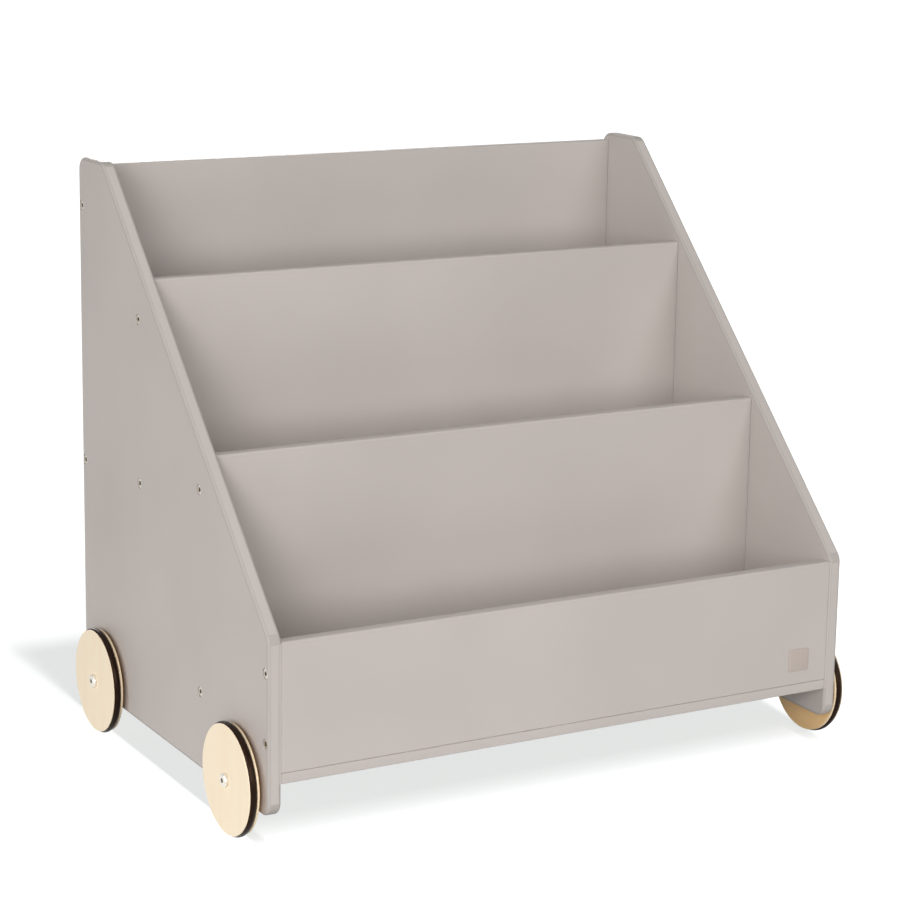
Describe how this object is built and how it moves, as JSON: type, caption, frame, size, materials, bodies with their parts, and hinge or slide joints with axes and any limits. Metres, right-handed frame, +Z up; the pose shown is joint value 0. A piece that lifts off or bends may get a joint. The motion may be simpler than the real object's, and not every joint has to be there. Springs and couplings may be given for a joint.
{
  "type": "childrens book trolley",
  "caption": "Low book trolley with sloping sides and stepped open pockets that show books face forward, rolling on grooved plywood wheels with rubber rings.",
  "frame": {"origin": "on the floor under the middle of the trolley, at the bottom centre of its bounding box", "axes": "+Z up, the front with the lowest pocket faces -Y, +X towards the right as seen from the front"},
  "size_m": [0.6, 0.396, 0.52],
  "materials": {
    "painted_mdf": "fine-textured satin lacquer in warm grey on medium-density fibreboard",
    "birch_plywood": "clear satin lacquer on birch plywood, plies showing on the rim",
    "black_rubber": "smooth extruded rubber, slightly glossy",
    "zinc_plated_steel": "bright zinc plate",
    "white_nylon": "turned nylon",
    "beech": "bare beech"
  },
  "bodies": {
    "carcass": {"side_panel_left": "painted_mdf", "side_panel_right": "painted_mdf", "front_panel": "painted_mdf", "front_divider": "painted_mdf", "rear_divider": "painted_mdf", "back_panel": "painted_mdf", "bottom_board": "painted_mdf", "upper_floor": "painted_mdf", "front_panel_screws": "zinc_plated_steel", "front_divider_screws": "zinc_plated_steel", "rear_divider_screws": "zinc_plated_steel", "back_panel_screws": "zinc_plated_steel", "bottom_board_dowels": "beech", "upper_floor_dowels": "beech", "axle_bolt_front_left": "zinc_plated_steel", "axle_bolt_front_right": "zinc_plated_steel", "axle_bolt_rear_left": "zinc_plated_steel", "axle_bolt_rear_right": "zinc_plated_steel", "axle_sleeve_front_left": "zinc_plated_steel", "axle_sleeve_front_right": "zinc_plated_steel", "axle_sleeve_rear_left": "zinc_plated_steel", "axle_sleeve_rear_right": "zinc_plated_steel", "axle_spacer_front_left": "white_nylon", "axle_spacer_front_right": "white_nylon", "axle_spacer_rear_left": "white_nylon", "axle_spacer_rear_right": "white_nylon", "axle_insert_front_left": "zinc_plated_steel", "axle_insert_front_right": "zinc_plated_steel", "axle_insert_rear_left": "zinc_plated_steel", "axle_insert_rear_right": "zinc_plated_steel"},
    "front_left_wheel": {"wheel_disc_front_left": "birch_plywood", "tyre_front_left": "black_rubber", "wheel_bush_front_left": "white_nylon"},
    "front_right_wheel": {"wheel_disc_front_right": "birch_plywood", "tyre_front_right": "black_rubber", "wheel_bush_front_right": "white_nylon"},
    "rear_left_wheel": {"wheel_disc_rear_left": "birch_plywood", "tyre_rear_left": "black_rubber", "wheel_bush_rear_left": "white_nylon"},
    "rear_right_wheel": {"wheel_disc_rear_right": "birch_plywood", "tyre_rear_right": "black_rubber", "wheel_bush_rear_right": "white_nylon"}
  },
  "joints": [
    {"name": "front_left_wheel_spin", "type": "hinge", "parent": "carcass", "child": "front_left_wheel", "pos_m": [-0.29225, -0.146, 0.048], "axis": [1, 0, 0], "continuous": true},
    {"name": "front_right_wheel_spin", "type": "hinge", "parent": "carcass", "child": "front_right_wheel", "pos_m": [0.29225, -0.146, 0.048], "axis": [1, 0, 0], "continuous": true},
    {"name": "rear_left_wheel_spin", "type": "hinge", "parent": "carcass", "child": "rear_left_wheel", "pos_m": [-0.29225, 0.142, 0.048], "axis": [1, 0, 0], "continuous": true},
    {"name": "rear_right_wheel_spin", "type": "hinge", "parent": "carcass", "child": "rear_right_wheel", "pos_m": [0.29225, 0.142, 0.048], "axis": [1, 0, 0], "continuous": true}
  ]
}
